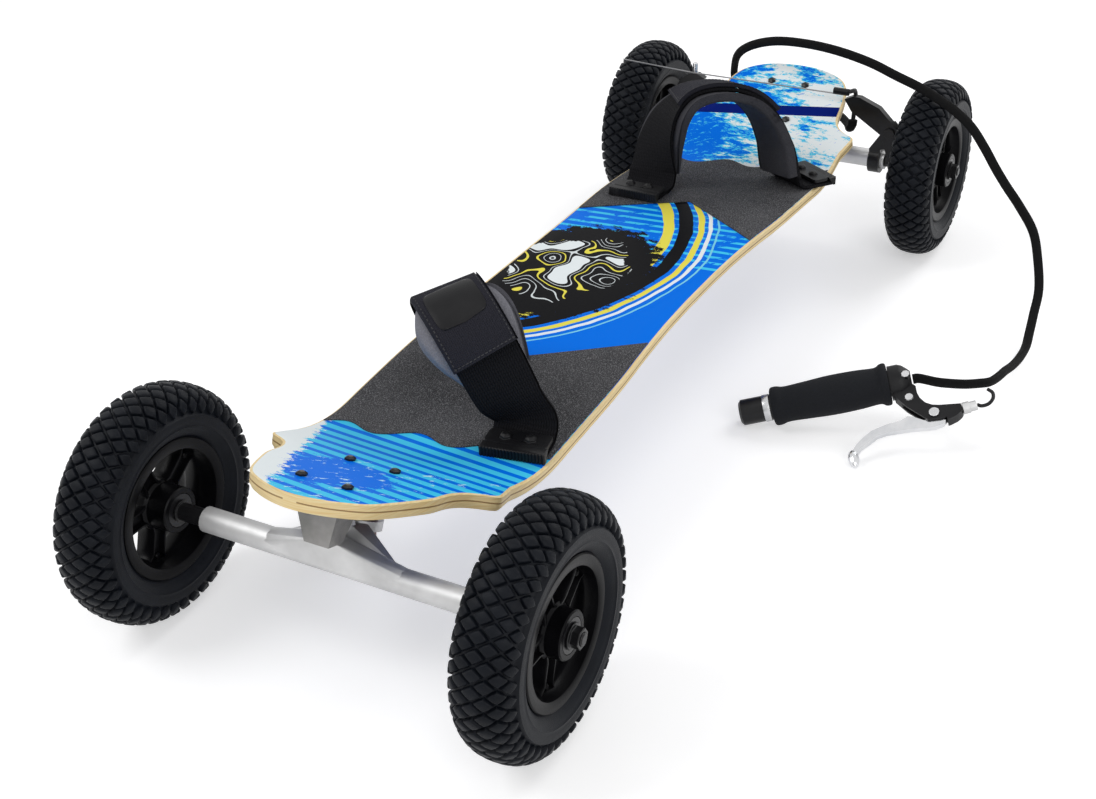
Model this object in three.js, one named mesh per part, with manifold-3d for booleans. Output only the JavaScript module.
// A mountainboard: a laminated deck on two sprung trucks, four air tyres on spoked hubs,
// two foot bindings, and rear brakes worked by a lever on a hand-held handle.
// Millimetres, +Z up. The origin is the middle of the deck's top face, +X points to the nose.

import * as THREE from 'three';
import { ConvexGeometry } from 'three/addons/geometries/ConvexGeometry.js';
import { mergeVertices } from 'three/addons/utils/BufferGeometryUtils.js';
import Module from 'manifold-3d';

const wasm = await Module();
wasm.setup();

// Driving dimensions

const FIT = {
  gap: 0.3,
  overrun: 1,
  weld: 1e-4,
};

const CHASSIS = {
  wheelbase: 930,
  track: 353,
  axleHeight: 100,
  deckHeight: 140,
};

const DECK = {
  halfLength: 508,
  halfWidth: 106,
  thickness: 12,
  shoulderReachShare: 0.7,
  flatHalfLength: 30,
  dipLength: 305,
  camber: 13.5,
  bendStart: 300,
  bendLength: 62,
  kickSlopeShare: 0.36,
  bendSteps: 6,
};

// Shares of the half length up to the shoulder and of the half width.
const BODY_OUTLINE_SHARES = [
  [0.059, 0.906], [0.16, 0.915], [0.26, 0.937], [0.35, 0.962], [0.43, 0.969], [0.51, 0.966],
  [0.5906, 0.962], [0.7126, 0.948], [0.742, 0.967], [0.762, 0.99], [0.7776, 1],
];

// Beyond the shoulder: shares of what is left of the half length and of the half width.
const NOSE_OUTLINE_SHARES = [
  [0.0378, 0.96], [0.0737, 0.88], [0.1187, 0.81], [0.1817, 0.762], [0.2581, 0.735],
  [0.3885, 0.72], [0.5279, 0.665], [0.6628, 0.6], [0.7752, 0.535], [0.8471, 0.465],
  [0.9101, 0.36], [0.955, 0.26], [0.9865, 0.15], [1, 0.06],
];

const TAIL_OUTLINE_SHARES = [
  [0.0378, 0.96], [0.0737, 0.88], [0.1187, 0.81], [0.1817, 0.762], [0.2581, 0.735],
  [0.3885, 0.72], [0.5279, 0.7], [0.6628, 0.665], [0.76, 0.61], [0.82, 0.545],
  [0.87, 0.455], [0.91, 0.34], [0.933, 0.22], [0.943, 0.07],
];

const TAPE = {
  thickness: 0.9,
  edgeInset: 3,
  columns: 8,
  rows: 10,
  innerReach: 186,
  innerSweep: 68,
  outerReach: 340,
  outerSweep: 34,
  waveHeight: 7,
  waveCountShare: 1.5,
};

const TYRE = {
  radius: 100,
  width: 52,
  beadRadius: 57.2,
  wall: 6,
  squareness: 2.4,
  openAngle: 150,
  outsidePoints: 10,
  insidePoints: 5,
  segments: 32,
};

const RIM = {
  flangeRadius: 59.5,
  flangeThickness: 3.1,
  halfWidth: 21,
  innerRadius: 51,
  seatHalfWidth: 16.5,
  segments: 24,
};

const HUB = {
  spokes: 5,
  spokeHalfWidth: 8,
  windowOuter: 47,
  windowInner: 21,
  plateThickness: 14,
  plateOffset: 3,
  bossRadius: 19,
  bossHalfWidth: 24.5,
  arcSteps: 4,
  insideArcSteps: 2,
};

const BEARING = {
  outerRadius: 14,
  width: 8,
  spacerRadius: 7.5,
  segments: 16,
};

const AXLE = {
  radius: 5,
  endOverhang: 10,
  collarRadius: 7.5,
  washerRadius: 9,
  washerThickness: 2,
  chamfer: 1,
  segments: 12,
};

const AXLE_NUT = {
  radius: 8.5,
  height: 7,
  flangeRadius: 10.5,
  flangeHeight: 1.6,
};

const HANGER = {
  wheelClearance: 26.7,
  tubeRadius: 10.5,
  tubeSegments: 18,
  yokeHalfWidth: 58,
  yokeTopHalfWidth: 13,
  ridgeHalfWidth: 8,
  yokeReach: 12.5,
  seatRadius: 16,
  seatThickness: 8,
  seatBore: 6.6,
  noseRadius: 7,
  noseTipRadius: 5,
};

// Places in the truck's own plane: along is towards the tip, up is square to the deck.
const TRUCK = {
  boltCentre: 439,
  pivotAlong: 24,
  pivotDrop: 25,
  seatAlong: -27,
  seatDrop: 32,
};

const TRUCK_BOLT = {
  along: 63.5,
  across: 41.3,
  radius: 2.4,
  headRadius: 4.8,
  headHeight: 3,
  nutRadius: 4.6,
  nutHeight: 4,
  sides: 6,
};

const BASEPLATE = {
  halfLength: 42,
  halfWidth: 28,
  thickness: 5,
  cornerRadius: 8,
  legTopHalfLength: 15,
  legTopHalfWidth: 20,
  legFootHalfLength: 9,
  legFootHalfWidth: 11,
  legFootDrop: 36.5,
  kingBossRadius: 16,
  kingBossDrop: 9,
  cornerSteps: 3,
};

const CUP = {
  outerRadius: 8.6,
  depth: 11,
  floor: 2,
  segments: 12,
};

const KINGPIN = {
  radius: 4.75,
  topDrop: 1.3,
  length: 59,
  washerRadius: 14,
  washerThickness: 2,
  nutRadius: 8,
  nutHeight: 7,
  segments: 12,
};

const BUSHING = {
  radius: 13.5,
  waistRadius: 11.5,
  boreRadius: 5.1,
  roadHeight: 12,
  segments: 16,
};

const STRAP = {
  halfWidth: 28,
  thickness: 4,
  footPoints: 4,
  layerGap: 0.6,
};

const LINER = {
  thickness: 9,
  endHalfWidth: 29,
};

const FLAP = {
  halfWidth: 29.5,
  thickness: 4.5,
};

const ANCHOR = {
  halfLength: 27,
  halfWidth: 9.5,
  lift: 1.5,
  thickness: 3.5,
  lipHeight: 4,
  lipWidth: 6,
  lipOffset: 16,
  boltSpacing: 21,
  boltRadius: 2.6,
  headRadius: 5.2,
  headHeight: 3.6,
  grip: 9,
  sides: 6,
};

// Each binding's anchors lie along and across the board. Turns are the directions of the strap's
// width at its inner anchor, at its crest and at its outer anchor. The ankle's side of the arch
// is banked up, and the crest leans over to the toes' side.
const BINDING = {
  rear: {
    innerAnchor: [-181, -56],
    outerAnchor: [-311, 84],
    innerLeg: 34,
    outerLeg: 31,
    turns: [90, 39, 57],
    innerSide: -1,
    bank: 15,
    archHeight: 100,
    toeLean: 20,
    crestShift: 2,
    squareness: 2.4,
    linerBulge: 20,
    linerSpanShares: [0.19, 0.81],
    flapSpanShares: [0.38, 0.66],
  },
  front: {
    innerAnchor: [172, -50],
    outerAnchor: [304, 69],
    innerLeg: 20,
    outerLeg: 19,
    turns: [90, 132, 100],
    innerSide: 1,
    bank: 14,
    archHeight: 99,
    toeLean: 37,
    crestShift: 15,
    squareness: 1.9,
    linerBulge: 12,
    linerSpanShares: [0.45, 0.7],
    flapSpanShares: [0.45, 0.65],
  },
};

const ARCH = {
  footReach: 14,
  bendBack: 8.5,
  bendMiddle: 4,
  bendRise: 3,
  legRise: 13,
  archPoints: 7,
  seatRow: 2,
  turnPowerShare: 0.7,
};

const BRAKE_DISC = {
  radius: 46,
  thickness: 2.2,
  gapToHub: 4,
  hatRadius: 21,
  boreRadius: 14,
  segments: 28,
};

// Across the board, from the end of the hanger.
const BRAKE_MOUNT = {
  inset: 11,
  width: 13,
  wall: 5,
  plateBack: 8.7,
  pivotOutset: 8,
  pivotUp: 41,
  pinRadius: 3.5,
  pinHeadRadius: 6,
  pinHead: 2.5,
  segments: 16,
};

const BRAKE_ARM = {
  back: 11,
  thickness: 9,
  bossRadius: 9.5,
  guideInset: 39,
  clampInset: 19,
  endUp: 78,
  limbHalfWidth: 9,
  padDrop: 29,
  padHeight: 17,
  padThickness: 6,
  padGap: 2.2,
  clampRadius: 3.2,
  clampHeight: 12,
  clampBack: 4.7,
};

const WIRE = {
  radius: 0.8,
  sides: 6,
  lift: 1.1,
  tailForward: 66,
  tailOut: 61,
  tailRise: 29,
};

const NOODLE = {
  radius: 2.6,
  bootRadius: 4,
  bootLength: 18,
  inset: 4,
  sides: 8,
  steps: 12,
};

// The guide's bend, from the left arm's end: along the board, across and up.
const NOODLE_BEND = [
  [0, -8, 0], [0, -1, 0.5], [-5, 2, 0.6], [-11, 3, -0.6], [-15.5, 3, -7], [-17, 2.5, -18],
  [-17, 1.5, -38],
];

const CORD = {
  radius: 5,
  sides: 8,
  stepLength: 28,
  tailRadius: 2.5,
  tailStepLength: 12,
};

const HANDLE = {
  barStart: -4,
  barEnd: 152,
  barRadius: 12.6,
  barWall: 2.5,
  capLength: 6,
  gripStart: 27.5,
  gripEnd: 140,
  gripRadius: 19.2,
  clampStart: 140.4,
  clampLength: 20.5,
  clampWall: 3.7,
  screwRadius: 3.8,
  bodyThickness: 12,
  pinHead: 1.8,
  pivotAlong: 175,
  pivotAcross: 45.5,
  pinRadius: 2.4,
  adjusterRadius: 5.6,
  adjusterLength: 13,
  adjusterNeckShare: 0.84,
  segments: 16,
};

// Shares of the grip's length and of its largest radius.
const GRIP_SHARES = [
  [0, 0.89], [0.025, 0.98], [0.065, 0.98], [0.13, 0.9], [0.3, 0.94], [0.51, 1], [0.73, 0.98],
  [0.87, 0.92], [0.92, 0.95], [0.955, 1.06], [0.985, 1.06], [1, 0.96],
];

// Shares of the clamp's length and of its outer radius.
const CLAMP_SHARES = [[0, 1], [0.46, 1], [0.66, 0.9], [0.83, 0.72], [1, 0.5]];

const LEVER = {
  thickness: 6.4,
  bossRadius: 6,
  ballRadius: 5.5,
  ballStretch: 1.75,
  ballSides: 12,
  ballBands: 8,
  ballAlong: 95.3,
  ballAcross: 75.5,
};

// Outlines in the handle's own plane: along the bar and towards the lever.
const BRACKET_OUTLINE = [
  [142.5, 6], [158, 6], [163.5, 12], [163.5, 20], [165, 26], [169, 32.4], [174.6, 36.2],
  [181, 38], [190, 39.4], [200, 40.8], [201, 46.5], [199, 49.5], [194.5, 52.6], [188, 54.8],
  [185.4, 55.2], [185.4, 51.5], [179, 52], [168, 51], [160, 42], [151.4, 32.5], [142.5, 19],
];

const SLOT_OUTLINE = [
  [185.4, 39.2], [185.4, 66], [130, 66], [130, 24], [150, 27.5], [158, 34], [166, 39.2],
];

// Along, across and up to the head's face, on the side away from the floor.
const BRACKET_SCREWS = [[156.5, 2.5, 15.2], [155.5, 23.5, 7.4]];

const LEVER_OUTLINE = [
  [184, 54.5], [181, 48], [170, 47], [165, 50], [156, 44], [151, 42], [142.6, 45.5],
  [133.2, 46],
  [123.8, 48], [115.6, 50.4], [107, 56], [100, 62], [94, 70], [98, 73], [103.5, 66.6],
  [112, 62], [120, 57], [129.5, 55.4], [139, 55.7], [153, 56.5], [163.5, 58], [173, 59],
  [181, 57.5],
];

const ADJUSTER_LINE = [[201, 43.3], [214, 42.2]];

// Places on the floor side of the board, from the middle of the deck over the floor.
const HANDLE_PLACE = {
  barEnd: [-2.3, 142, 13.8],
  clampEnd: [-53.7, 262.9, 48.2],
  leverBall: [21.5, 260.9, 6.9],
};

// The brake cable's hand-chosen route, from the noodle to the handle, over the floor.
const CABLE_ROUTE = [
  [-462.1, 83.5, 143.7], [-462.6, 82.8, 138], [-472, 77, 129], [-508, 62, 121],
  [-550, 33, 115], [-566, 0, 113], [-563, -45, 118], [-552, -80, 129], [-537, -94, 142],
  [-522, -90, 167],
  [-500, -76, 191], [-478, -50, 211], [-462, -15, 225], [-452, 25, 230], [-445, 65, 229],
  [-441, 105, 222], [-438, 137, 212], [-434, 160, 206], [-427, 178, 202], [-417, 196, 198],
  [-409, 214, 192], [-401, 235, 180], [-394, 253, 162], [-391, 268, 142], [-390, 282, 124],
  [-384, 300, 106], [-366, 321, 88], [-343, 334, 68], [-318, 344, 46], [-292, 347, 30],
  [-266, 350, 20], [-241, 353, 17], [-205, 355, 23], [-168, 356, 33], [-135, 356, 44],
  [-107, 356, 52], [-85, 353.5, 57.5], [-73.5, 346, 60], [-67.5, 335, 59.5], [-65.5, 322, 58],
  [-64.6, 309, 56.8], [-65.3, 292.4, 56.2], [-63.6, 286.4, 54.9],
];

const CABLE_TAIL_ROUTE = [
  [-50.15, 352.1, 50.85], [-51.5, 354.7, 51.8], [-56, 357.6, 54], [-61.5, 357.2, 56.2],
  [-66.6, 354.6, 57.7],
];

// Small shared helpers

const DEGREE = Math.PI / 180;
const TURN = 2 * Math.PI;

function paint(color, roughness, metalness) {
  return new THREE.MeshStandardMaterial({ color, roughness, metalness });
}

const FINISH = {
  wood: () => paint(0xd9b36c, 0.45, 0),
  tape: () => paint(0x3b3b40, 0.95, 0),
  tyre: () => paint(0x17181b, 0.75, 0),
  hub: () => paint(0x0d0d0e, 0.25, 0),
  steel: () => paint(0xb9bbbd, 0.3, 1),
  silver: () => paint(0xc6c8ca, 0.35, 1),
  casting: () => paint(0x8b8a86, 0.55, 1),
  urethane: () => paint(0x5c0f12, 0.4, 0),
  blackSteel: () => paint(0x141415, 0.4, 0.6),
  blackPlastic: () => paint(0x161617, 0.5, 0),
  webbing: () => paint(0x151517, 0.9, 0),
  foam: () => paint(0x55565c, 0.85, 0),
  grip: () => paint(0x1d1e22, 0.85, 0),
};

function signedVolume(position, index) {
  const a = new THREE.Vector3();
  const b = new THREE.Vector3();
  const c = new THREE.Vector3();
  let sum = 0;
  for (let i = 0; i < index.length; i += 3) {
    a.fromBufferAttribute(position, index[i]);
    b.fromBufferAttribute(position, index[i + 1]);
    c.fromBufferAttribute(position, index[i + 2]);
    sum += a.dot(b.cross(c));
  }
  return sum;
}

// Joins equal corners, drops triangles without area and turns the faces outwards.
function weld(geometry) {
  const bare = new THREE.BufferGeometry();
  bare.setAttribute('position', geometry.attributes.position.clone());
  if (geometry.index) {
    bare.setIndex(geometry.index.clone());
  }
  const merged = mergeVertices(bare, FIT.weld);
  const source = merged.index.array;
  const kept = [];
  for (let i = 0; i < source.length; i += 3) {
    const [a, b, c] = [source[i], source[i + 1], source[i + 2]];
    if (a !== b && b !== c && c !== a) {
      kept.push(a, b, c);
    }
  }
  if (signedVolume(merged.attributes.position, kept) < 0) {
    for (let i = 0; i < kept.length; i += 3) {
      [kept[i], kept[i + 1]] = [kept[i + 1], kept[i]];
    }
  }
  merged.setIndex(kept);
  return merged;
}

function toSolid(geometry) {
  const closed = weld(geometry);
  const vertProperties = Float32Array.from(closed.attributes.position.array);
  const triVerts = Uint32Array.from(closed.index.array);
  return new wasm.Manifold(new wasm.Mesh({ numProp: 3, vertProperties, triVerts }));
}

function toGeometry(solid) {
  const mesh = solid.getMesh();
  const geometry = new THREE.BufferGeometry();
  const position = new THREE.BufferAttribute(Float32Array.from(mesh.vertProperties), 3);
  geometry.setAttribute('position', position);
  geometry.setIndex(Array.from(mesh.triVerts));
  return geometry;
}

function join(...geometries) {
  return toGeometry(geometries.map(toSolid).reduce((sum, solid) => sum.add(solid)));
}

function cut(geometry, ...tools) {
  const start = toSolid(geometry);
  return toGeometry(tools.map(toSolid).reduce((rest, tool) => rest.subtract(tool), start));
}

function addMesh(parent, name, geometry, material) {
  const shown = weld(geometry);
  shown.computeVertexNormals();
  const mesh = new THREE.Mesh(shown, material);
  mesh.name = name;
  parent.add(mesh);
  return mesh;
}

// A body turned about the Y axis; each profile point is [radius, place along Y].
function revolve(profile, segments, closed = true) {
  const points = profile.map(([r, y]) => new THREE.Vector2(r, y));
  if (closed) {
    points.push(points[0].clone());
  }
  return new THREE.LatheGeometry(points, segments, Math.PI / segments);
}

function plug(radius, start, end, segments) {
  return revolve([[0, start], [radius, start], [radius, end], [0, end]], segments, false);
}

// Turns a body made along Y so that it runs along the given direction, from the given place.
function aim(geometry, place, direction) {
  const up = new THREE.Vector3(0, 1, 0);
  const turn = new THREE.Quaternion().setFromUnitVectors(up, direction.clone().normalize());
  return geometry.applyQuaternion(turn).translate(place.x, place.y, place.z);
}

function polygon(points) {
  return new THREE.Shape(points.map(([x, y]) => new THREE.Vector2(x, y)));
}

function extrude(shape, depth) {
  const geometry = new THREE.ExtrudeGeometry(shape, { depth, bevelEnabled: false, curveSegments: 6 });
  return geometry.translate(0, 0, -depth / 2);
}

function roundedRectangle(halfX, halfY, radius, steps) {
  const points = [];
  const corners = [[1, 1, 0], [-1, 1, 1], [-1, -1, 2], [1, -1, 3]];
  for (const [sx, sy, quarter] of corners) {
    for (let i = 0; i <= steps; i++) {
      const angle = (quarter + i / steps) * Math.PI / 2;
      points.push([
        sx * (halfX - radius) + radius * Math.cos(angle),
        sy * (halfY - radius) + radius * Math.sin(angle),
      ]);
    }
  }
  return polygon(points);
}

// Stands a flat outline, drawn as (across, up), square to the X axis.
function standAcross(geometry) {
  const basis = new THREE.Matrix4().makeBasis(
    new THREE.Vector3(0, 1, 0), new THREE.Vector3(0, 0, 1), new THREE.Vector3(1, 0, 0));
  return geometry.applyMatrix4(basis);
}

// Skins a row of closed rings with the same number of corners and caps both ends.
function loft(rings) {
  const count = rings[0].length;
  const position = rings.flat().flatMap((p) => [p.x, p.y, p.z]);
  const index = [];
  for (let i = 0; i + 1 < rings.length; i++) {
    for (let j = 0; j < count; j++) {
      const a = i * count + j;
      const b = i * count + (j + 1) % count;
      index.push(a, b, b + count, a, b + count, a + count);
    }
  }
  const last = (rings.length - 1) * count;
  for (let j = 1; j + 1 < count; j++) {
    index.push(0, j + 1, j, last, last + j, last + j + 1);
  }
  const geometry = new THREE.BufferGeometry();
  geometry.setAttribute('position', new THREE.Float32BufferAttribute(position, 3));
  geometry.setIndex(index);
  return geometry;
}

function tubeAlong(points, radius, sides, steps) {
  const path = new THREE.CatmullRomCurve3(points.map((p) => new THREE.Vector3(...p)));
  const ring = [];
  for (let i = 0; i < sides; i++) {
    ring.push([radius * Math.cos(i * TURN / sides), radius * Math.sin(i * TURN / sides)]);
  }
  const count = steps ?? 1;
  return new THREE.ExtrudeGeometry(polygon(ring), { steps: count, extrudePath: path });
}

function stepsFor(points, stepLength) {
  const path = new THREE.CatmullRomCurve3(points.map((p) => new THREE.Vector3(...p)));
  return Math.round(path.getLength() / stepLength);
}

// The deck's side profile, with heights over the floor

function deckSlope(x) {
  const ax = Math.abs(x);
  const camberSlope = (at) => -2 * DECK.camber * at / DECK.dipLength ** 2;
  if (ax <= DECK.bendStart) {
    return camberSlope(ax);
  }
  const from = camberSlope(DECK.bendStart);
  const share = Math.min((ax - DECK.bendStart) / DECK.bendLength, 1);
  return from + (DECK.kickSlopeShare - from) * share;
}

function deckTop(x) {
  const ax = Math.max(Math.abs(x), DECK.flatHalfLength);
  const crown = (at) => {
    const flat = (DECK.flatHalfLength / DECK.dipLength) ** 2;
    return CHASSIS.deckHeight - DECK.camber * ((at / DECK.dipLength) ** 2 - flat);
  };
  if (ax <= DECK.bendStart) {
    return crown(ax);
  }
  const run = Math.min(ax - DECK.bendStart, DECK.bendLength);
  const bend = (deckSlope(DECK.bendStart) + deckSlope(DECK.bendStart + run)) / 2 * run;
  const straight = Math.max(ax - DECK.bendStart - DECK.bendLength, 0);
  return crown(DECK.bendStart) + bend + straight * DECK.kickSlopeShare;
}

// The deck's shoulder stands just behind the tyres, so the outline follows the wheelbase.
function deckShoulder() {
  return CHASSIS.wheelbase / 2 - DECK.shoulderReachShare * TYRE.radius;
}

function outlineStations(end) {
  const shoulder = deckShoulder();
  const bodyShare = BODY_OUTLINE_SHARES.at(-1)[0];
  const beyond = end < 0 ? TAIL_OUTLINE_SHARES : NOSE_OUTLINE_SHARES;
  return [
    ...BODY_OUTLINE_SHARES.map(([along, across]) => [along / bodyShare * shoulder, across]),
    ...beyond.map(([along, across]) =>
      [shoulder + along * (DECK.halfLength - shoulder), across]),
  ];
}

function deckHalfWidth(x) {
  const list = outlineStations(Math.sign(x));
  const at = Math.abs(x);
  if (at <= list[0][0]) {
    return list[0][1] * DECK.halfWidth;
  }
  const i = Math.min(list.findIndex(([along]) => along >= at - FIT.weld), list.length - 1);
  const [[x0, w0], [x1, w1]] = [list[i - 1], list[i]];
  return (w0 + (w1 - w0) * (at - x0) / (x1 - x0)) * DECK.halfWidth;
}

const KICK_ANGLE = Math.atan(DECK.kickSlopeShare);

// The truck's plane: a point given along the tip and square to the deck's underside.
function truckPoint(along, up, across = 0) {
  const tip = new THREE.Vector3(Math.cos(KICK_ANGLE), 0, Math.sin(KICK_ANGLE));
  const normal = new THREE.Vector3(-Math.sin(KICK_ANGLE), 0, Math.cos(KICK_ANGLE));
  const point = new THREE.Vector3(TRUCK.boltCentre, across, deckTop(TRUCK.boltCentre));
  return point.addScaledVector(normal, up - DECK.thickness).addScaledVector(tip, along);
}

function truckDirection(along, up) {
  return truckPoint(along, up).sub(truckPoint(0, 0)).normalize();
}

// Where the axle's centre lies in the truck's plane.
function axleInTruckPlane() {
  const centre = new THREE.Vector3(CHASSIS.wheelbase / 2, 0, CHASSIS.axleHeight);
  const offset = centre.sub(truckPoint(0, 0));
  return { along: offset.dot(truckDirection(1, 0)), up: offset.dot(truckDirection(0, 1)) };
}

const AXLE_PLACE = axleInTruckPlane();
const KING_AXIS = truckDirection(
  TRUCK.seatDrop - TRUCK.pivotDrop, TRUCK.seatAlong - TRUCK.pivotAlong).negate();
const LEAN_AXIS = truckDirection(
  TRUCK.pivotAlong - TRUCK.seatAlong, TRUCK.seatDrop - TRUCK.pivotDrop);

// Deck, grip tape and bolt holes

function deckStations(end) {
  const stations = outlineStations(end).map(([along]) => along);
  for (let i = 1; i <= DECK.bendSteps; i++) {
    stations.push(DECK.bendStart + DECK.bendLength * i / DECK.bendSteps);
  }
  stations.push(DECK.flatHalfLength);
  stations.sort((a, b) => a - b);
  return stations.filter((x, i) => i === 0 || x - stations[i - 1] > FIT.overrun)
    .map((x) => end * x);
}

function deckRing(x) {
  const half = deckHalfWidth(x);
  const angle = Math.atan(deckSlope(x)) * Math.sign(x);
  const top = deckTop(x);
  const flat = Math.abs(x) <= DECK.flatHalfLength;
  const lowX = flat ? x : x + DECK.thickness * Math.sin(angle);
  const lowZ = top - DECK.thickness * (flat ? 1 : Math.cos(angle));
  return [
    new THREE.Vector3(x, half, top),
    new THREE.Vector3(x, -half, top),
    new THREE.Vector3(lowX, -half, lowZ),
    new THREE.Vector3(lowX, half, lowZ),
  ];
}

function truckBoltPlaces() {
  const places = [];
  for (const i of [-1, 1]) {
    for (const j of [-1, 1]) {
      places.push([i * TRUCK_BOLT.along / 2, j * TRUCK_BOLT.across / 2]);
    }
  }
  return places;
}

function truckBoltTools(end) {
  const turned = end < 0 ? Math.PI : 0;
  return truckBoltPlaces().map(([along, across]) => {
    const reach = DECK.thickness + 2 * FIT.overrun;
    const drill = plug(TRUCK_BOLT.radius + FIT.gap, -FIT.overrun, reach, TRUCK_BOLT.sides);
    return aim(drill, truckPoint(along, 0, across), truckDirection(0, 1)).rotateZ(turned);
  });
}

function makeDeck(anchorTools) {
  const board = loft([...deckStations(-1).reverse(), ...deckStations(1)].map(deckRing));
  return cut(board, ...truckBoltTools(1), ...truckBoltTools(-1), ...anchorTools);
}

// The tape's edges across the deck: a shallow point inside and a wavy line outside.
function tapeEdge(acrossShare) {
  const inner = TAPE.innerReach - TAPE.innerSweep * Math.abs(acrossShare);
  const wave = TAPE.waveHeight * Math.sin(TURN * TAPE.waveCountShare * acrossShare);
  const outer = TAPE.outerReach - TAPE.outerSweep * (acrossShare + 1) / 2 + wave;
  return [inner, outer];
}

function makeTape(end) {
  const rings = [];
  for (let i = 0; i <= TAPE.rows; i++) {
    const ring = [];
    const under = [];
    for (let j = 0; j <= TAPE.columns; j++) {
      const acrossShare = 2 * j / TAPE.columns - 1;
      const [inner, outer] = tapeEdge(acrossShare);
      const x = inner + (outer - inner) * i / TAPE.rows;
      const y = acrossShare * (deckHalfWidth(x) - TAPE.edgeInset);
      const low = deckTop(x) + FIT.gap;
      ring.push(new THREE.Vector3(end * x, y, low + TAPE.thickness));
      under.unshift(new THREE.Vector3(end * x, y, low));
    }
    rings.push([...ring, ...under]);
  }
  return rings;
}

// Skins the tape: each ring runs across the top and back along the underside.
function skinTape(rings) {
  const count = rings[0].length;
  const half = count / 2;
  const geometry = loft(rings);
  const index = Array.from(geometry.index.array).slice(0, (rings.length - 1) * count * 6);
  const last = (rings.length - 1) * count;
  for (let j = 0; j + 1 < half; j++) {
    const a = j;
    const b = j + 1;
    const c = count - 2 - j;
    const d = count - 1 - j;
    index.push(a, c, b, a, d, c);
    index.push(last + a, last + b, last + c, last + a, last + c, last + d);
  }
  geometry.setIndex(index);
  return geometry;
}

// Wheels, made along Y with the outer face on +Y

function tyreArc(halfWidth, halfHeight, centre, count) {
  const points = [];
  const power = 2 / TYRE.squareness;
  const bend = (value) => Math.sign(value) * Math.abs(value) ** power;
  for (let i = 0; i < count; i++) {
    const share = 2 * i / (count - 1) - 1;
    const angle = share * TYRE.openAngle * DEGREE;
    points.push([centre + halfHeight * bend(Math.cos(angle)), halfWidth * bend(Math.sin(angle))]);
  }
  return points;
}

function makeTyre() {
  const power = 2 / TYRE.squareness;
  const step = 2 * TYRE.openAngle / (TYRE.outsidePoints - 1) * DEGREE;
  const crown = Math.cos(step / 2) ** power;
  const bead = (-Math.cos(TYRE.openAngle * DEGREE)) ** power;
  const top = TYRE.radius / Math.cos(Math.PI / TYRE.segments);
  const halfHeight = (top - TYRE.beadRadius - FIT.gap) / (crown + bead);
  const centre = top - halfHeight * crown;
  const outside = tyreArc(TYRE.width / 2, halfHeight, centre, TYRE.outsidePoints);
  const inside = tyreArc(TYRE.width / 2 - TYRE.wall, halfHeight - TYRE.wall, centre,
    TYRE.insidePoints);
  return revolve([...outside, ...inside.reverse()], TYRE.segments);
}

function rimProfile() {
  const flangeInside = RIM.halfWidth - RIM.flangeThickness;
  const seat = TYRE.beadRadius * Math.cos(Math.PI / TYRE.segments) - FIT.gap;
  return [
    [RIM.innerRadius, -RIM.halfWidth], [RIM.flangeRadius, -RIM.halfWidth],
    [RIM.flangeRadius, -flangeInside], [seat, -RIM.seatHalfWidth],
    [seat, RIM.seatHalfWidth], [RIM.flangeRadius, flangeInside],
    [RIM.flangeRadius, RIM.halfWidth], [RIM.innerRadius, RIM.halfWidth],
  ];
}

function arcPoints(radius, from, to, steps) {
  const points = [];
  for (let i = 0; i <= steps; i++) {
    const angle = from + (to - from) * i / steps;
    points.push([radius * Math.cos(angle), radius * Math.sin(angle)]);
  }
  return points;
}

function windowOutline(middle) {
  const spread = (radius) => Math.PI / HUB.spokes - Math.asin(HUB.spokeHalfWidth / radius);
  const outer = spread(HUB.windowOuter);
  const inner = spread(HUB.windowInner);
  return [
    ...arcPoints(HUB.windowOuter, middle - outer, middle + outer, HUB.arcSteps),
    ...arcPoints(HUB.windowInner, middle + inner, middle - inner, HUB.insideArcSteps),
  ];
}

function makeHub() {
  const rim = revolve(rimProfile(), RIM.segments);
  const shell = (RIM.innerRadius + TYRE.beadRadius) / 2;
  const plate = polygon(arcPoints(shell, 0, TURN, RIM.segments).slice(1));
  for (let i = 0; i < HUB.spokes; i++) {
    const middle = (i + 1 / 2) * TURN / HUB.spokes;
    plate.holes.push(new THREE.Path(windowOutline(middle).map(([x, y]) => new THREE.Vector2(x, y))));
  }
  const spokes = extrude(plate, HUB.plateThickness);
  spokes.rotateX(Math.PI / 2).translate(0, HUB.plateOffset, 0);
  const boss = plug(HUB.bossRadius, -HUB.bossHalfWidth, HUB.bossHalfWidth, BEARING.segments);
  const reach = HUB.bossHalfWidth + FIT.overrun;
  const bore = plug(BEARING.outerRadius + FIT.gap, -reach, reach, BEARING.segments);
  return cut(join(rim, spokes, boss), bore);
}

function makeBearingSet() {
  const bore = AXLE.radius + FIT.gap;
  const edge = HUB.bossHalfWidth;
  const step = edge - BEARING.width;
  const { outerRadius, spacerRadius } = BEARING;
  return revolve([
    [bore, -edge], [outerRadius, -edge], [outerRadius, -step], [spacerRadius, -step],
    [spacerRadius, step], [outerRadius, step], [outerRadius, edge], [bore, edge],
  ], BEARING.segments);
}

function makeBrakeDisc() {
  const hubFace = -HUB.bossHalfWidth - FIT.gap;
  const back = hubFace - BRAKE_DISC.gapToHub;
  const front = back - BRAKE_DISC.thickness;
  return revolve([
    [BRAKE_DISC.boreRadius, front], [BRAKE_DISC.radius, front], [BRAKE_DISC.radius, back],
    [BRAKE_DISC.hatRadius, back], [BRAKE_DISC.hatRadius, hubFace],
    [BRAKE_DISC.boreRadius, hubFace],
  ], BRAKE_DISC.segments);
}

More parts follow.
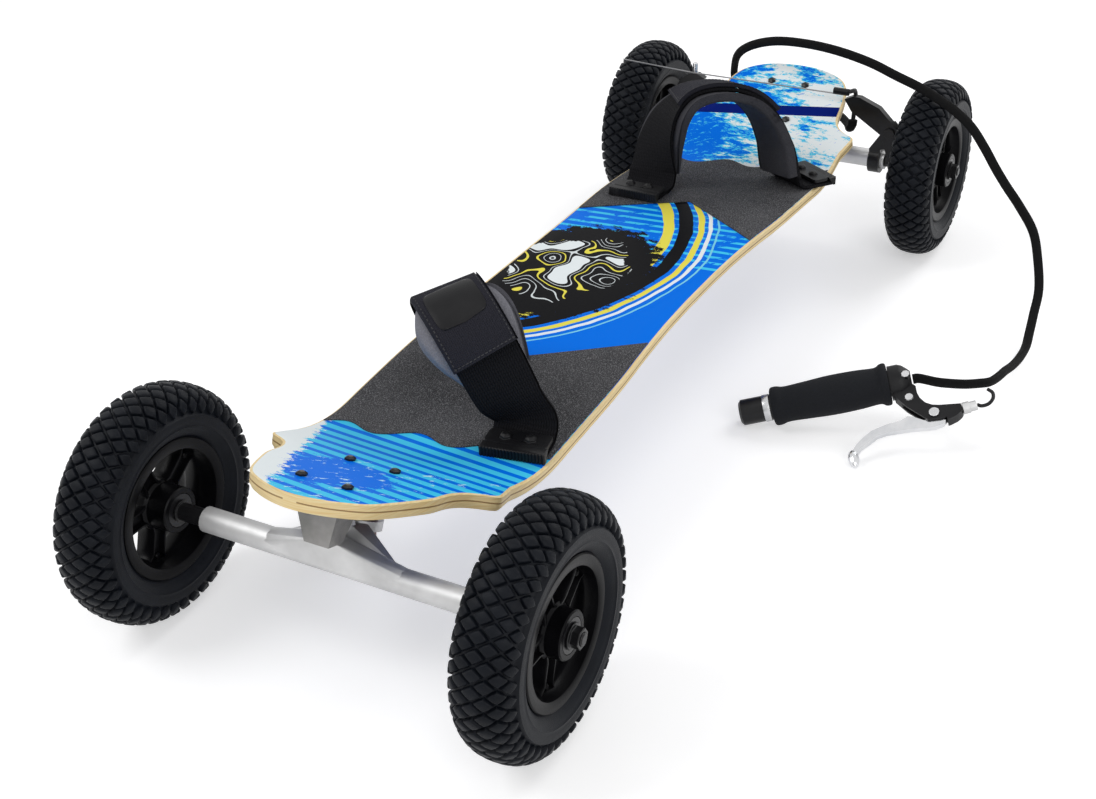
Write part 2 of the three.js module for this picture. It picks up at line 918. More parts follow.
function makeWheel(parent, name, side, braked) {
  const wheel = new THREE.Group();
  wheel.position.y = side * CHASSIS.track / 2;
  wheel.rotation.x = side < 0 ? Math.PI : 0;
  parent.add(wheel);
  addMesh(wheel, `${name}_tyre`, makeTyre(), FINISH.tyre());
  addMesh(wheel, `${name}_hub`, makeHub(), FINISH.hub());
  addMesh(wheel, `${name}_bearings`, makeBearingSet(), FINISH.steel());
  if (braked) {
    addMesh(wheel, `${name}_brake_disc`, makeBrakeDisc(), FINISH.steel());
  }
}

// Trucks, made for the nose end; the tail's truck is the same, turned about

function hexagon(radius) {
  return polygon(arcPoints(radius, 0, TURN, 6).slice(1));
}

function hubInnerFace() {
  return CHASSIS.track / 2 - HUB.bossHalfWidth - FIT.gap;
}

function hangerHalfLength() {
  return hubInnerFace() - HANGER.wheelClearance;
}

function makeAxle() {
  const hubInside = hubInnerFace();
  const end = CHASSIS.track / 2 + HUB.bossHalfWidth + AXLE.endOverhang;
  const washer = hubInside - AXLE.washerThickness;
  const collar = hangerHalfLength() + FIT.gap;
  const half = [
    [AXLE.radius, collar], [AXLE.collarRadius, collar], [AXLE.collarRadius, washer],
    [AXLE.washerRadius, washer], [AXLE.washerRadius, hubInside], [AXLE.radius, hubInside],
    [AXLE.radius, end - AXLE.chamfer], [AXLE.radius - AXLE.chamfer, end], [0, end],
  ];
  const mirrored = half.map(([r, y]) => [r, -y]).reverse();
  return revolve([...mirrored, ...half], AXLE.segments, false);
}

function makeAxleNut() {
  const face = CHASSIS.track / 2 + HUB.bossHalfWidth + FIT.gap;
  const nut = extrude(hexagon(AXLE_NUT.radius), AXLE_NUT.height);
  const top = face + AXLE_NUT.flangeHeight + AXLE_NUT.height / 2 - FIT.gap;
  nut.rotateX(Math.PI / 2).translate(0, top, 0);
  const flange = plug(AXLE_NUT.flangeRadius, face, face + AXLE_NUT.flangeHeight, AXLE.segments);
  const reach = face + AXLE_NUT.flangeHeight + AXLE_NUT.height + FIT.overrun;
  const bore = plug(AXLE.radius + FIT.gap, face - FIT.overrun, reach, AXLE.segments);
  return cut(join(nut, flange), bore);
}

function axleCentre() {
  return truckPoint(AXLE_PLACE.along, AXLE_PLACE.up);
}

function yokeCorners() {
  const corners = [];
  for (const side of [-1, 1]) {
    const tube = HANGER.tubeRadius;
    const far = side * HANGER.yokeHalfWidth;
    const clear = BUSHING.radius + 3 * FIT.overrun;
    const near = side * HANGER.yokeTopHalfWidth;
    const ridge = side * HANGER.ridgeHalfWidth;
    const reach = HANGER.yokeReach;
    const half = HANGER.seatThickness / 2;
    const tubeInset = tube * Math.SQRT1_2;
    corners.push(
      truckPoint(AXLE_PLACE.along + tubeInset, AXLE_PLACE.up, far),
      truckPoint(AXLE_PLACE.along - tubeInset, AXLE_PLACE.up, far),
      truckPoint(AXLE_PLACE.along, AXLE_PLACE.up - tubeInset, side * HANGER.yokeTopHalfWidth),
      truckPoint(AXLE_PLACE.along, AXLE_PLACE.up + tubeInset, far),
      truckPoint(TRUCK.seatAlong + reach, -TRUCK.seatDrop + half, near),
      truckPoint(TRUCK.seatAlong + clear, -TRUCK.seatDrop - half, near),
      truckPoint(AXLE_PLACE.along + tubeInset, AXLE_PLACE.up, near),
      truckPoint((TRUCK.seatAlong + TRUCK.pivotAlong) / 2, -TRUCK.seatDrop + half, ridge),
    );
  }
  return corners;
}

function makeHanger() {
  const centre = axleCentre();
  const halfLength = hangerHalfLength();
  const tube = plug(HANGER.tubeRadius, -halfLength, halfLength, HANGER.tubeSegments);
  tube.translate(centre.x, 0, centre.z);
  const yoke = new ConvexGeometry(yokeCorners());
  const seatCentre = truckPoint(TRUCK.seatAlong, -TRUCK.seatDrop);
  const half = HANGER.seatThickness / 2;
  const seat = aim(plug(HANGER.seatRadius, -half, half, HANGER.tubeSegments), seatCentre, KING_AXIS);
  const pivot = truckPoint(TRUCK.pivotAlong, -TRUCK.pivotDrop);
  const run = pivot.distanceTo(seatCentre);
  const noseStart = HANGER.seatRadius + HANGER.noseTipRadius;
  const nose = aim(revolve([
    [0, noseStart], [HANGER.noseRadius, noseStart],
    [HANGER.noseRadius, run - CUP.depth], [HANGER.noseTipRadius, run - CUP.depth / 2],
    [HANGER.noseTipRadius, run], [HANGER.noseTipRadius / 2, run + HANGER.noseTipRadius / 2],
    [0, run + HANGER.noseTipRadius / 2],
  ], CUP.segments, false), seatCentre, LEAN_AXIS);
  const bore = plug(AXLE.radius + FIT.gap, -halfLength - FIT.overrun,
    halfLength + FIT.overrun, AXLE.segments);
  bore.translate(centre.x, 0, centre.z);
  const hole = aim(plug(HANGER.seatBore, -HANGER.seatThickness, HANGER.seatThickness,
    KINGPIN.segments), seatCentre, KING_AXIS);
  return cut(join(tube, yoke, seat, nose), bore, hole);
}

// The kingpin's line starts where it meets the deck's underside.
function kingpinFoot() {
  const seatCentre = truckPoint(TRUCK.seatAlong, -TRUCK.seatDrop);
  const normal = truckDirection(0, 1);
  const rise = TRUCK.seatDrop / KING_AXIS.dot(normal);
  return seatCentre.addScaledVector(KING_AXIS, rise);
}

function seatDistance() {
  return kingpinFoot().distanceTo(truckPoint(TRUCK.seatAlong, -TRUCK.seatDrop));
}

function makeKingpin() {
  const seat = seatDistance();
  const washerTop = seat + HANGER.seatThickness / 2 + BUSHING.roadHeight + 2 * FIT.gap;
  const washerLow = washerTop + KINGPIN.washerThickness;
  const shaft = plug(KINGPIN.radius, KINGPIN.topDrop, KINGPIN.length, KINGPIN.segments);
  const washer = plug(KINGPIN.washerRadius, washerTop, washerLow, BUSHING.segments);
  const nut = extrude(hexagon(KINGPIN.nutRadius), KINGPIN.nutHeight);
  nut.rotateX(Math.PI / 2).translate(0, washerLow + KINGPIN.nutHeight / 2 - FIT.gap, 0);
  return aim(join(shaft, washer, nut), kingpinFoot(), KING_AXIS.clone().negate());
}

function makeBushing(top, height, taper) {
  const waist = taper > 0 ? BUSHING.waistRadius : BUSHING.radius;
  const wide = taper > 0 ? BUSHING.radius : BUSHING.waistRadius;
  const body = revolve([
    [BUSHING.boreRadius, top], [wide, top], [(wide + BUSHING.radius) / 2, top + height / 2],
    [waist, top + height], [BUSHING.boreRadius, top + height],
  ], BUSHING.segments);
  return aim(body, kingpinFoot(), KING_AXIS.clone().negate());
}

function makeCup() {
  const inner = HANGER.noseTipRadius + FIT.gap;
  const start = -CUP.depth / 2 + FIT.gap;
  const floor = HANGER.noseTipRadius / 2 + FIT.gap;
  const cup = revolve([
    [0, floor], [inner, floor], [inner, start], [CUP.outerRadius, start],
    [CUP.outerRadius, floor + CUP.floor], [0, floor + CUP.floor],
  ], CUP.segments, false);
  return aim(cup, truckPoint(TRUCK.pivotAlong, -TRUCK.pivotDrop), LEAN_AXIS);
}

function legCorners() {
  const corners = [];
  for (const i of [-1, 1]) {
    for (const j of [-1, 1]) {
      corners.push(truckPoint(TRUCK.pivotAlong + i * BASEPLATE.legTopHalfLength,
        -BASEPLATE.thickness / 2, j * BASEPLATE.legTopHalfWidth));
      corners.push(truckPoint(TRUCK.pivotAlong + i * BASEPLATE.legFootHalfLength + FIT.overrun,
        -BASEPLATE.legFootDrop, j * BASEPLATE.legFootHalfWidth));
    }
  }
  return corners;
}

function truckBolt(along, across) {
  const up = truckDirection(0, 1);
  const headLow = DECK.thickness + FIT.gap;
  const low = -BASEPLATE.thickness - TRUCK_BOLT.nutHeight;
  return aim(revolve([
    [0, low], [TRUCK_BOLT.nutRadius, low], [TRUCK_BOLT.nutRadius, -BASEPLATE.thickness / 2],
    [TRUCK_BOLT.radius, -BASEPLATE.thickness / 2], [TRUCK_BOLT.radius, headLow],
    [TRUCK_BOLT.headRadius, headLow], [TRUCK_BOLT.headRadius, headLow + TRUCK_BOLT.headHeight / 2],
    [TRUCK_BOLT.radius, headLow + TRUCK_BOLT.headHeight], [0, headLow + TRUCK_BOLT.headHeight],
  ], TRUCK_BOLT.sides, false), truckPoint(along, 0, across), up);
}

function makeBaseplate() {
  const sheet = extrude(roundedRectangle(BASEPLATE.halfLength, BASEPLATE.halfWidth,
    BASEPLATE.cornerRadius, BASEPLATE.cornerSteps), BASEPLATE.thickness);
  const middle = truckPoint(0, -FIT.gap - BASEPLATE.thickness / 2);
  sheet.rotateY(-KICK_ANGLE).translate(middle.x, middle.y, middle.z);
  const leg = new ConvexGeometry(legCorners());
  const down = KING_AXIS.clone().negate();
  const boss = aim(plug(BASEPLATE.kingBossRadius, BASEPLATE.thickness / 2,
    BASEPLATE.kingBossDrop, BUSHING.segments), kingpinFoot(), down);
  const bolts = truckBoltPlaces().map(([along, across]) => truckBolt(along, across));
  const pivot = truckPoint(TRUCK.pivotAlong, -TRUCK.pivotDrop);
  const floor = HANGER.noseTipRadius / 2 + FIT.gap + CUP.floor + FIT.gap;
  const socket = aim(plug(CUP.outerRadius + FIT.gap, -2 * CUP.depth, floor,
    CUP.segments), pivot, LEAN_AXIS);
  const hole = aim(plug(KINGPIN.radius + FIT.gap, -BASEPLATE.kingBossDrop,
    2 * BASEPLATE.kingBossDrop, KINGPIN.segments), kingpinFoot(), down);
  return cut(join(sheet, leg, boss, ...bolts), socket, hole);
}

function makeTruck(parent, name) {
  const boardBushingTop = BASEPLATE.kingBossDrop + FIT.gap;
  const seatTop = seatDistance() - HANGER.seatThickness / 2;
  const seatLow = seatDistance() + HANGER.seatThickness / 2;
  addMesh(parent, `${name}_baseplate`, makeBaseplate(), FINISH.casting());
  addMesh(parent, `${name}_pivot_cup`, makeCup(), FINISH.blackPlastic());
  addMesh(parent, `${name}_kingpin`, makeKingpin(), FINISH.blackSteel());
  addMesh(parent, `${name}_board_bushing`,
    makeBushing(boardBushingTop, seatTop - FIT.gap - boardBushingTop, 1), FINISH.urethane());
  addMesh(parent, `${name}_road_bushing`,
    makeBushing(seatLow + FIT.gap, BUSHING.roadHeight, -1), FINISH.urethane());
  addMesh(parent, `${name}_hanger`, makeHanger(), FINISH.silver());
  const axle = new THREE.Group();
  axle.position.copy(axleCentre());
  parent.add(axle);
  addMesh(axle, `${name}_axle`, makeAxle(), FINISH.blackSteel());
  const sides = name === 'front' ? ['left', 'right'] : ['right', 'left'];
  addMesh(axle, `${name}_${sides[0]}_axle_nut`, makeAxleNut(), FINISH.blackSteel());
  const mirrored = makeAxleNut().rotateX(Math.PI);
  addMesh(axle, `${name}_${sides[1]}_axle_nut`, mirrored, FINISH.blackSteel());
  return axle;
}

// Bindings: a strap arch over each foot, its foam liner, closure flap and anchor plates

// From the middle of the inner foot, over the arch, to the middle of the outer foot.
function strapRoute({ innerAnchor, outerAnchor, turns, innerSide, ...arch }) {
  const inner = new THREE.Vector2(...innerAnchor);
  const outer = new THREE.Vector2(...outerAnchor);
  const square = (degrees) => new THREE.Vector2(Math.sin(degrees * DEGREE),
    -Math.cos(degrees * DEGREE)).multiplyScalar(innerSide);
  const ahead = square(turns[0]);
  const back = square(turns[2]).negate();
  const toes = new THREE.Vector2(-Math.cos(turns[1] * DEGREE), -Math.sin(turns[1] * DEGREE));
  const foot = (leg) => [
    [-ARCH.footReach, 0], [-ARCH.footReach / 2, 0], [0, 0], [leg - ARCH.bendBack, 0],
    [leg - ARCH.bendMiddle, ARCH.bendRise], [leg, ARCH.legRise],
  ];
  const lay = (anchor, way, leg) => foot(leg).map(([at, up]) => {
    const place = anchor.clone().addScaledVector(way, at);
    return [place.x, place.y, up];
  });
  const from = inner.clone().addScaledVector(ahead, arch.innerLeg);
  const span = outer.clone().addScaledVector(back, arch.outerLeg).sub(from);
  const way = span.clone().normalize();
  const over = [];
  for (let i = 1; i <= ARCH.archPoints; i++) {
    const angle = Math.PI * i / (ARCH.archPoints + 1);
    const power = 2 / arch.squareness;
    const side = Math.sign(Math.cos(angle)) * Math.abs(Math.cos(angle)) ** power;
    const rise = Math.sin(angle) ** power;
    const place = from.clone().addScaledVector(span, (1 - side) / 2);
    place.addScaledVector(way, arch.crestShift * rise).addScaledVector(toes, arch.toeLean * rise);
    over.push([place.x, place.y, arch.archHeight * rise]);
  }
  const outerFoot = lay(outer, back, arch.outerLeg).reverse();
  return [...lay(inner, ahead, arch.innerLeg), ...over, ...outerFoot];
}

function strapCurve(route) {
  const lift = TAPE.thickness + 4 * FIT.gap + STRAP.thickness / 2;
  const points = route.map(([x, y, z]) => new THREE.Vector3(x, y, deckTop(x) + lift + z));
  return new THREE.CatmullRomCurve3(points);
}

// Rings stand at every route point, and halfway between them along the arch.
function ringShares(curve) {
  const last = curve.points.length - 1;
  const shares = [];
  for (let i = 0; i <= last; i++) {
    shares.push(i / last);
    if (i >= STRAP.footPoints && i < last - STRAP.footPoints) {
      shares.push((i + 1 / 2) / last);
    }
  }
  return shares;
}

// The strap's width turns from one anchor to the crest, and on to the other anchor.
function strapFrame(curve, share, { turns: [inner, crest, outer], bank }) {
  const foot = (STRAP.footPoints + 1) / (curve.points.length - 1);
  const along = THREE.MathUtils.clamp((share - foot) / (1 - 2 * foot), 0, 1);
  const side = along < 1 / 2 ? inner : outer;
  const turned = Math.sin(Math.PI * along) ** ARCH.turnPowerShare;
  const turn = (side + (crest - side) * turned) * DEGREE;
  const place = curve.getPoint(share);
  const reach = Math.cos(turn) * STRAP.halfWidth;
  const lie = Math.atan((deckTop(place.x + reach) - deckTop(place.x - reach))
    / (2 * STRAP.halfWidth));
  const arched = Math.sin(Math.PI * along);
  const tilt = bank * arched * DEGREE + lie * (1 - arched);
  const tangent = curve.getTangent(share);
  const width = new THREE.Vector3(Math.cos(turn) * Math.cos(tilt),
    Math.sin(turn) * Math.cos(tilt), Math.sin(tilt));
  width.addScaledVector(tangent, -width.dot(tangent)).normalize();
  return { place, width, tangent };
}

function bandRings({ curve, binding }, band) {
  const all = ringShares(curve);
  const [start, end] = band.spanShares.map((share) => Math.round(share * all.length));
  const shares = all.slice(start, end);
  return shares.map((share, i) => {
    const { place, width, tangent } = strapFrame(curve, share, binding);
    const out = new THREE.Vector3().crossVectors(tangent, width).normalize();
    out.multiplyScalar(binding.innerSide);
    const half = band.halfWidth + band.bulge * Math.sin(Math.PI * i / (shares.length - 1));
    const low = place.clone().addScaledVector(out, band.offset - band.thickness / 2);
    const high = place.clone().addScaledVector(out, band.offset + band.thickness / 2);
    return [
      high.clone().addScaledVector(width, half), high.clone().addScaledVector(width, -half),
      low.clone().addScaledVector(width, -half), low.clone().addScaledVector(width, half),
    ];
  });
}

// A seat's own axes: across the plate, along the strap's width, and off the deck.
function anchorSeat(curve, binding, row) {
  const share = row / (curve.points.length - 1);
  const { place, width, tangent } = strapFrame(curve, share, binding);
  const off = new THREE.Vector3().crossVectors(tangent, width).normalize();
  off.multiplyScalar(binding.innerSide);
  const side = new THREE.Vector3().crossVectors(width, off);
  const lift = STRAP.thickness / 2 + ANCHOR.lift;
  return new THREE.Matrix4().makeBasis(side, width, off)
    .setPosition(place.addScaledVector(off, lift));
}

function makeAnchorPlate(seat) {
  const plate = extrude(roundedRectangle(ANCHOR.halfWidth, ANCHOR.halfLength,
    ANCHOR.thickness, 2), ANCHOR.thickness);
  plate.translate(0, 0, ANCHOR.thickness / 2);
  const bolts = [-1, 1].map((side) => {
    const bolt = revolve([
      [0, -ANCHOR.grip], [ANCHOR.boltRadius, -ANCHOR.grip], [ANCHOR.boltRadius, 0],
      [ANCHOR.boltRadius, ANCHOR.thickness - FIT.gap],
      [ANCHOR.headRadius, ANCHOR.thickness - FIT.gap],
      [ANCHOR.headRadius, ANCHOR.thickness + ANCHOR.headHeight / 2],
      [ANCHOR.boltRadius, ANCHOR.thickness + ANCHOR.headHeight],
      [0, ANCHOR.thickness + ANCHOR.headHeight],
    ], ANCHOR.sides, false);
    return bolt.rotateX(Math.PI / 2).translate(0, side * ANCHOR.boltSpacing / 2, 0);
  });
  return join(plate, ...bolts).applyMatrix4(seat);
}

function anchorDrills(seat) {
  return [-1, 1].map((side) => {
    const drill = plug(ANCHOR.boltRadius + FIT.gap, -ANCHOR.grip - FIT.gap,
      ANCHOR.grip, ANCHOR.sides);
    drill.rotateX(Math.PI / 2).translate(0, side * ANCHOR.boltSpacing / 2, 0);
    return drill.applyMatrix4(seat);
  });
}

function bindingPlan(binding) {
  const curve = strapCurve(strapRoute(binding));
  const rows = [ARCH.seatRow, curve.points.length - 1 - ARCH.seatRow];
  const seats = rows.map((row) => anchorSeat(curve, binding, row));
  return { curve, binding, seats };
}

function makeBinding(parent, name, plan) {
  const { linerBulge, linerSpanShares, flapSpanShares } = plan.binding;
  const whole = [0, 1];
  const strap = loft(bandRings(plan, { ...STRAP, bulge: 0, offset: 0, spanShares: whole }));
  addMesh(parent, `${name}_strap`, cut(strap, ...plan.seats.flatMap(anchorDrills)),
    FINISH.webbing());
  const under = -(STRAP.thickness + LINER.thickness) / 2 - STRAP.layerGap;
  const liner = loft(bandRings(plan, {
    ...LINER, halfWidth: LINER.endHalfWidth, bulge: linerBulge, offset: under,
    spanShares: linerSpanShares,
  }));
  addMesh(parent, `${name}_liner`, liner, FINISH.foam());
  const over = (STRAP.thickness + FLAP.thickness) / 2 + STRAP.layerGap;
  const flap = loft(bandRings(plan, {
    ...FLAP, bulge: 0, offset: over, spanShares: flapSpanShares,
  }));
  addMesh(parent, `${name}_flap`, flap, FINISH.webbing());
  plan.seats.forEach((seat, i) => {
    const side = i === 0 ? 'right' : 'left';
    addMesh(parent, `${name}_${side}_anchor`, makeAnchorPlate(seat), FINISH.blackPlastic());
  });
}

// Rear brakes, made on the axle's centre line; each arm is drawn as (across, up)

function brakePlaces() {
  const hangerEnd = hangerHalfLength();
  return {
    centre: hangerEnd - BRAKE_MOUNT.inset,
    pivotAcross: hangerEnd + BRAKE_MOUNT.pivotOutset,
    guideAcross: hangerEnd - BRAKE_ARM.guideInset,
    bootAcross: hangerEnd - BRAKE_ARM.guideInset - NOODLE.inset,
    clampAcross: hangerEnd - BRAKE_ARM.clampInset,
  };
}

function makeBrakeMount(side) {
  const inner = HANGER.tubeRadius + FIT.gap;
  const outer = inner + BRAKE_MOUNT.wall;
  const { centre, pivotAcross } = brakePlaces();
  const from = centre - BRAKE_MOUNT.width / 2;
  const to = centre + BRAKE_MOUNT.width / 2;
  const ring = plug(outer, from, to, BRAKE_MOUNT.segments);
  const { pivotUp, pinRadius } = BRAKE_MOUNT;
  const plate = standAcross(extrude(polygon([
    [from, 0], [to, 0], [to, outer], [pivotAcross + BRAKE_ARM.bossRadius / 2, pivotUp / 2],
    [pivotAcross + BRAKE_ARM.bossRadius, pivotUp], [pivotAcross, pivotUp + BRAKE_ARM.bossRadius],
    [pivotAcross - BRAKE_ARM.bossRadius, pivotUp], [from, outer],
  ]), BRAKE_MOUNT.plateBack));
  const armLow = BRAKE_ARM.back;
  plate.translate(armLow - FIT.gap - BRAKE_MOUNT.plateBack / 2, 0, 0);
  const tip = armLow + BRAKE_ARM.thickness + FIT.gap;
  const pin = revolve([
    [0, 0], [pinRadius, 0], [pinRadius, tip], [BRAKE_MOUNT.pinHeadRadius, tip],
    [BRAKE_MOUNT.pinHeadRadius, tip + BRAKE_MOUNT.pinHead], [0, tip + BRAKE_MOUNT.pinHead],
  ].map(([r, y]) => [r, y === 0 ? armLow - FIT.overrun - FIT.gap : y]), AXLE.segments, false);
  aim(pin, new THREE.Vector3(0, pivotAcross, pivotUp), new THREE.Vector3(1, 0, 0));
  const bore = plug(inner, from - FIT.overrun, to + FIT.overrun, HANGER.tubeSegments);
  const mount = cut(join(ring, plate, pin), bore);
  return side < 0 ? mount.scale(1, -1, 1) : mount;
}

function armOutline(endAcross) {
  const { pivotUp } = BRAKE_MOUNT;
  const { pivotAcross } = brakePlaces();
  const { endUp, limbHalfWidth, bossRadius, padDrop, padHeight } = BRAKE_ARM;
  const discFace = CHASSIS.track / 2 - HUB.bossHalfWidth - FIT.gap
    - BRAKE_DISC.gapToHub - BRAKE_DISC.thickness;
  const padFace = discFace - BRAKE_ARM.padGap;
  const padBack = padFace - BRAKE_ARM.padThickness;
  const padMiddle = pivotUp - padDrop;
  return [
    [endAcross, endUp], [endAcross - limbHalfWidth, endUp - limbHalfWidth / 2],
    [endAcross, endUp - 2 * limbHalfWidth],
    [pivotAcross - bossRadius, pivotUp - bossRadius / 2],
    [padBack - bossRadius / 2, padMiddle - padHeight / 4],
    [padBack - bossRadius / 4, padMiddle - padHeight / 2],
    [padFace, padMiddle - padHeight / 2], [padFace, padMiddle + padHeight / 2],
    [padBack, padMiddle + padHeight / 2 + FIT.overrun],
    [pivotAcross + bossRadius * Math.SQRT1_2, pivotUp - bossRadius / 2],
    [pivotAcross + bossRadius, pivotUp], [pivotAcross + bossRadius * Math.SQRT1_2,
      pivotUp + bossRadius * Math.SQRT1_2],
    [(pivotAcross + endAcross) / 2 + limbHalfWidth, (pivotUp + endUp) / 2 + limbHalfWidth],
    [endAcross + limbHalfWidth, endUp],
  ];
}

function makeBrakeArm(side) {
  const { pivotAcross, guideAcross, clampAcross } = brakePlaces();
  const { pivotUp, pinRadius } = BRAKE_MOUNT;
  const shape = polygon(armOutline(side < 0 ? clampAcross : guideAcross));
  const eye = arcPoints(pinRadius + FIT.gap, 0, TURN, AXLE.segments).slice(1);
  const centred = eye.map(([x, y]) => new THREE.Vector2(x + pivotAcross, y + pivotUp));
  shape.holes.push(new THREE.Path(centred));
  const arm = standAcross(extrude(shape, BRAKE_ARM.thickness));
  arm.translate(BRAKE_ARM.back + BRAKE_ARM.thickness / 2, 0, 0);
  if (side < 0) {
    const clamp = plug(BRAKE_ARM.clampRadius, -BRAKE_ARM.clampBack, BRAKE_ARM.clampHeight,
      NOODLE.sides);
    clamp.rotateX(Math.PI / 2).translate(BRAKE_ARM.back + BRAKE_ARM.clampBack,
      clampAcross + BRAKE_ARM.limbHalfWidth / 2, BRAKE_ARM.endUp);
    return join(arm, clamp).scale(1, -1, 1);
  }
  return arm;
}

function wirePoints() {
  const x = BRAKE_ARM.back + BRAKE_ARM.thickness;
  const z = BRAKE_ARM.endUp + WIRE.lift;
  return { x, z };
}

function makeInnerWire() {
  const { x, z } = wirePoints();
  const places = brakePlaces();
  const mouth = places.bootAcross - NOODLE.bootLength - FIT.gap;
  const clampAcross = -places.clampAcross - BRAKE_ARM.limbHalfWidth / 2;
  const start = new THREE.Vector3(x, mouth, z);
  const bend = new THREE.Vector3(x, clampAcross, z);
  const tail = bend.clone().add(
    new THREE.Vector3(WIRE.tailForward, -WIRE.tailOut, WIRE.tailRise));
  const side = new THREE.Vector3(0, WIRE.radius, 0);
  const up = new THREE.Vector3(0, 0, WIRE.radius);
  const ring = (place, across) => arcPoints(1, 0, TURN, WIRE.sides).slice(1).map(([c, s]) =>
    place.clone().addScaledVector(across, c).addScaledVector(up, s));
  const forward = new THREE.Vector3(WIRE.radius, 0, 0);
  const slanted = forward.clone().add(side).multiplyScalar(Math.SQRT1_2);
  return loft([ring(start, forward), ring(bend, slanted), ring(tail, slanted)]);
}

function makeNoodle() {
  const { x, z } = wirePoints();
  const { bootAcross } = brakePlaces();
  const start = bootAcross - NOODLE.bootLength;
  const up = z + NOODLE.bootRadius - WIRE.radius;
  const boot = plug(NOODLE.bootRadius, start, bootAcross, NOODLE.sides);
  const route = NOODLE_BEND.map(([dx, dy, dz]) => [x + dx, bootAcross + dy, up + dz]);
  const bend = tubeAlong(route, NOODLE.radius, NOODLE.sides, NOODLE.steps);
  return join(boot.translate(x, 0, up), bend);
}

function makeBrakes(parent) {
  addMesh(parent, 'left_brake_mount', makeBrakeMount(1), FINISH.blackSteel());
  addMesh(parent, 'right_brake_mount', makeBrakeMount(-1), FINISH.blackSteel());
  addMesh(parent, 'left_brake_arm', makeBrakeArm(1), FINISH.blackSteel());
  addMesh(parent, 'right_brake_arm', makeBrakeArm(-1), FINISH.blackSteel());
  addMesh(parent, 'brake_wire', makeInnerWire(), FINISH.steel());
  addMesh(parent, 'brake_cable_guide', makeNoodle(), FINISH.blackPlastic());
}

// The handle, drawn along its bar: X runs to the clamp, Y towards the lever

function handleFrame() {
  const barEnd = new THREE.Vector3(...HANDLE_PLACE.barEnd);
  const along = new THREE.Vector3(...HANDLE_PLACE.clampEnd).sub(barEnd).normalize();
  const toBall = new THREE.Vector3(...HANDLE_PLACE.leverBall).sub(barEnd);
  const across = toBall.addScaledVector(along, -toBall.dot(along)).normalize();
  const normal = new THREE.Vector3().crossVectors(along, across);
  return new THREE.Matrix4().makeBasis(along, across, normal).setPosition(barEnd);
}

function makeBar() {
  const { barRadius, barWall, barStart, barEnd, capLength } = HANDLE;
  const bore = barRadius - barWall;
  return revolve([
    [0, barStart], [barRadius, barStart], [barRadius, barEnd], [bore, barEnd],
    [bore, barStart + capLength], [0, barStart + capLength],
  ], HANDLE.segments, false).rotateZ(-Math.PI / 2);
}

function makeGrip() {
  const { gripStart, gripEnd, gripRadius } = HANDLE;
  const bore = HANDLE.barRadius + FIT.gap;
  const outside = GRIP_SHARES.map(([along, around]) =>
    [gripRadius * around, gripStart + (gripEnd - gripStart) * along]);
  return revolve([[bore, gripStart], ...outside, [bore, gripEnd]], HANDLE.segments)
    .rotateZ(-Math.PI / 2);
}

function pinAt(along, across, radius, low, high, segments) {
  return plug(radius, low, high, segments).rotateX(Math.PI / 2).translate(along, across, 0);
}

function makeClamp() {
  const { clampStart, clampLength } = HANDLE;
  const bore = HANDLE.barRadius + FIT.gap;
  const outside = CLAMP_SHARES.map(([along, around]) =>
    [(bore + HANDLE.clampWall) * around, clampStart + clampLength * along]);
  const socketEnd = HANDLE.barEnd + FIT.gap;
  return revolve([
    [0, socketEnd], [bore, socketEnd], [bore, clampStart], ...outside,
    [0, clampStart + clampLength],
  ], HANDLE.segments, false).rotateZ(-Math.PI / 2);
}

function makeBracket() {
  const body = extrude(polygon(BRACKET_OUTLINE), HANDLE.bodyThickness);
  const half = HANDLE.bodyThickness / 2;
  const screws = BRACKET_SCREWS.map(([along, across, height]) =>
    pinAt(along, across, HANDLE.screwRadius, -height, FIT.overrun - half, NOODLE.sides));
  const bore = plug(HANDLE.barRadius + FIT.gap, HANDLE.barStart, HANDLE.barEnd + FIT.gap,
    HANDLE.segments).rotateZ(-Math.PI / 2);
  const slot = extrude(polygon(SLOT_OUTLINE), LEVER.thickness + 2 * FIT.gap);
  const hole = pinAt(HANDLE.pivotAlong, HANDLE.pivotAcross, HANDLE.pinRadius + FIT.gap,
    -HANDLE.bodyThickness, HANDLE.bodyThickness, AXLE.segments);
  return cut(join(makeClamp(), cut(join(body, ...screws), bore)), slot, hole);
}

function makeLeverPin() {
  const { pinRadius } = HANDLE;
  const face = HANDLE.bodyThickness / 2 + FIT.gap;
  const head = face + HANDLE.pinHead;
  return revolve([
    [0, -head], [2 * pinRadius, -head], [2 * pinRadius, -face], [pinRadius, -face],
    [pinRadius, face], [2 * pinRadius, face], [2 * pinRadius, head], [0, head],
  ], AXLE.segments, false).rotateX(Math.PI / 2).translate(
    HANDLE.pivotAlong, HANDLE.pivotAcross, 0);
}

function makeLever() {
  const blade = extrude(polygon(LEVER_OUTLINE), LEVER.thickness);
  const boss = pinAt(HANDLE.pivotAlong, HANDLE.pivotAcross, LEVER.bossRadius,
    -LEVER.thickness / 2, LEVER.thickness / 2, AXLE.segments);
  const ball = new THREE.SphereGeometry(LEVER.ballRadius, LEVER.ballSides, LEVER.ballBands);
  ball.scale(1, LEVER.ballStretch, 1).translate(LEVER.ballAlong, LEVER.ballAcross, 0);
  const hole = pinAt(HANDLE.pivotAlong, HANDLE.pivotAcross, HANDLE.pinRadius + FIT.gap,
    -LEVER.thickness, LEVER.thickness, AXLE.segments);
  return cut(join(blade, boss, ball), hole);
}

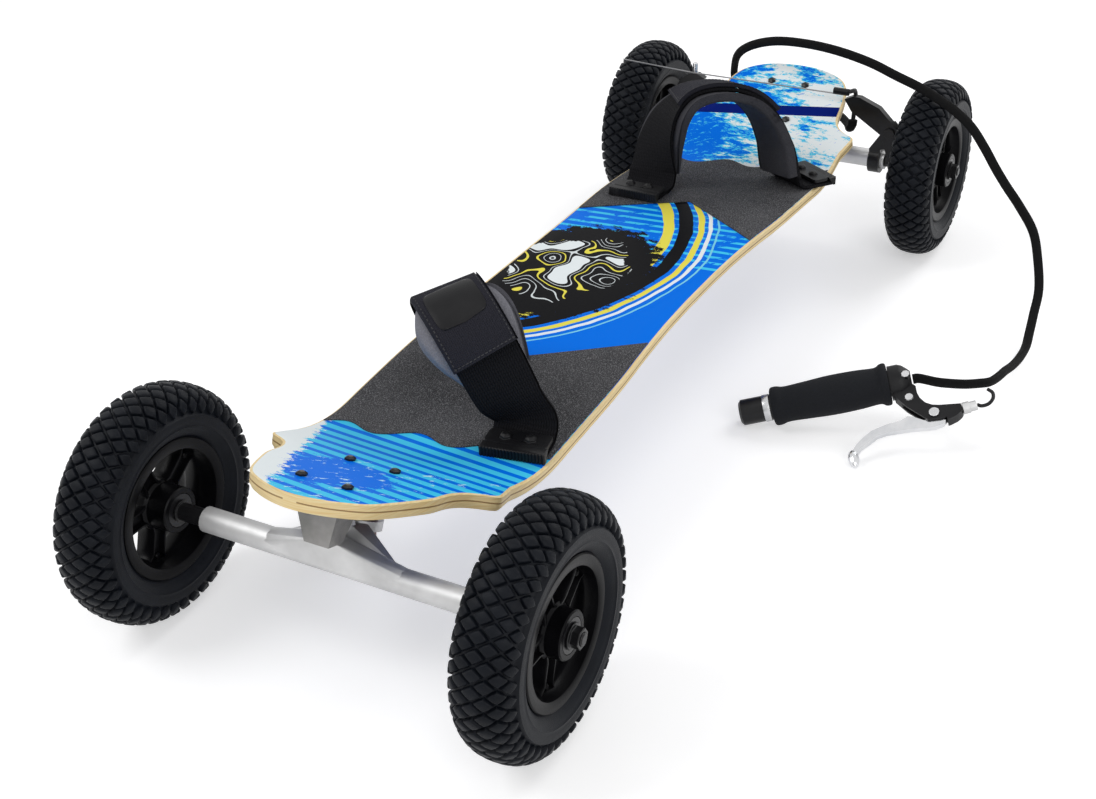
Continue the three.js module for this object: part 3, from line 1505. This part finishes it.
function makeAdjuster() {
  const { adjusterRadius, adjusterLength } = HANDLE;
  const barrel = revolve([
    [0, 0], [adjusterRadius, 0], [adjusterRadius, adjusterLength / 2],
    [adjusterRadius * HANDLE.adjusterNeckShare, adjusterLength / 2],
    [adjusterRadius * HANDLE.adjusterNeckShare, adjusterLength], [0, adjusterLength],
  ], NOODLE.sides * 2, false);
  const [start, end] = ADJUSTER_LINE.map(([x, y]) => new THREE.Vector3(x, y, 0));
  return aim(barrel, start, end.sub(start));
}

function makeHandle(parent) {
  const handle = new THREE.Group();
  handle.applyMatrix4(handleFrame());
  parent.add(handle);
  addMesh(handle, 'handle_bar', makeBar(), FINISH.blackSteel());
  addMesh(handle, 'handle_grip', makeGrip(), FINISH.grip());
  addMesh(handle, 'lever_bracket', makeBracket(), FINISH.blackPlastic());
  addMesh(handle, 'lever_pin', makeLeverPin(), FINISH.steel());
  addMesh(handle, 'brake_lever', makeLever(), FINISH.silver());
  addMesh(handle, 'barrel_adjuster', makeAdjuster(), FINISH.silver());
}

function makeCord(route, radius, stepLength) {
  return tubeAlong(route, radius, CORD.sides, stepsFor(route, stepLength));
}

const group = new THREE.Group();
group.name = 'mountainboard';
const floorLevel = new THREE.Group();
floorLevel.position.z = -CHASSIS.deckHeight;
group.add(floorLevel);

const plans = {
  front: bindingPlan(BINDING.front),
  rear: bindingPlan(BINDING.rear),
};
const allDrills = [...plans.front.seats, ...plans.rear.seats].flatMap(anchorDrills);
addMesh(floorLevel, 'deck', makeDeck(allDrills), FINISH.wood());
for (const [name, end] of [['front', 1], ['rear', -1]]) {
  addMesh(floorLevel, `${name}_grip_tape`, cut(skinTape(makeTape(end)), ...allDrills), FINISH.tape());
  const truck = new THREE.Group();
  truck.rotation.z = end < 0 ? Math.PI : 0;
  floorLevel.add(truck);
  const axle = makeTruck(truck, name);
  makeWheel(axle, `${name}_left_wheel`, end, end < 0);
  makeWheel(axle, `${name}_right_wheel`, -end, end < 0);
  makeBinding(floorLevel, `${name}_binding`, plans[name]);
}

const brakes = new THREE.Group();
brakes.position.set(-CHASSIS.wheelbase / 2, 0, CHASSIS.axleHeight);
floorLevel.add(brakes);
makeBrakes(brakes);
makeHandle(floorLevel);
addMesh(floorLevel, 'brake_line', makeCord(CABLE_ROUTE, CORD.radius, CORD.stepLength),
  FINISH.webbing());
addMesh(floorLevel, 'cable_end', makeCord(CABLE_TAIL_ROUTE, CORD.tailRadius,
  CORD.tailStepLength), FINISH.blackPlastic());

export default group;
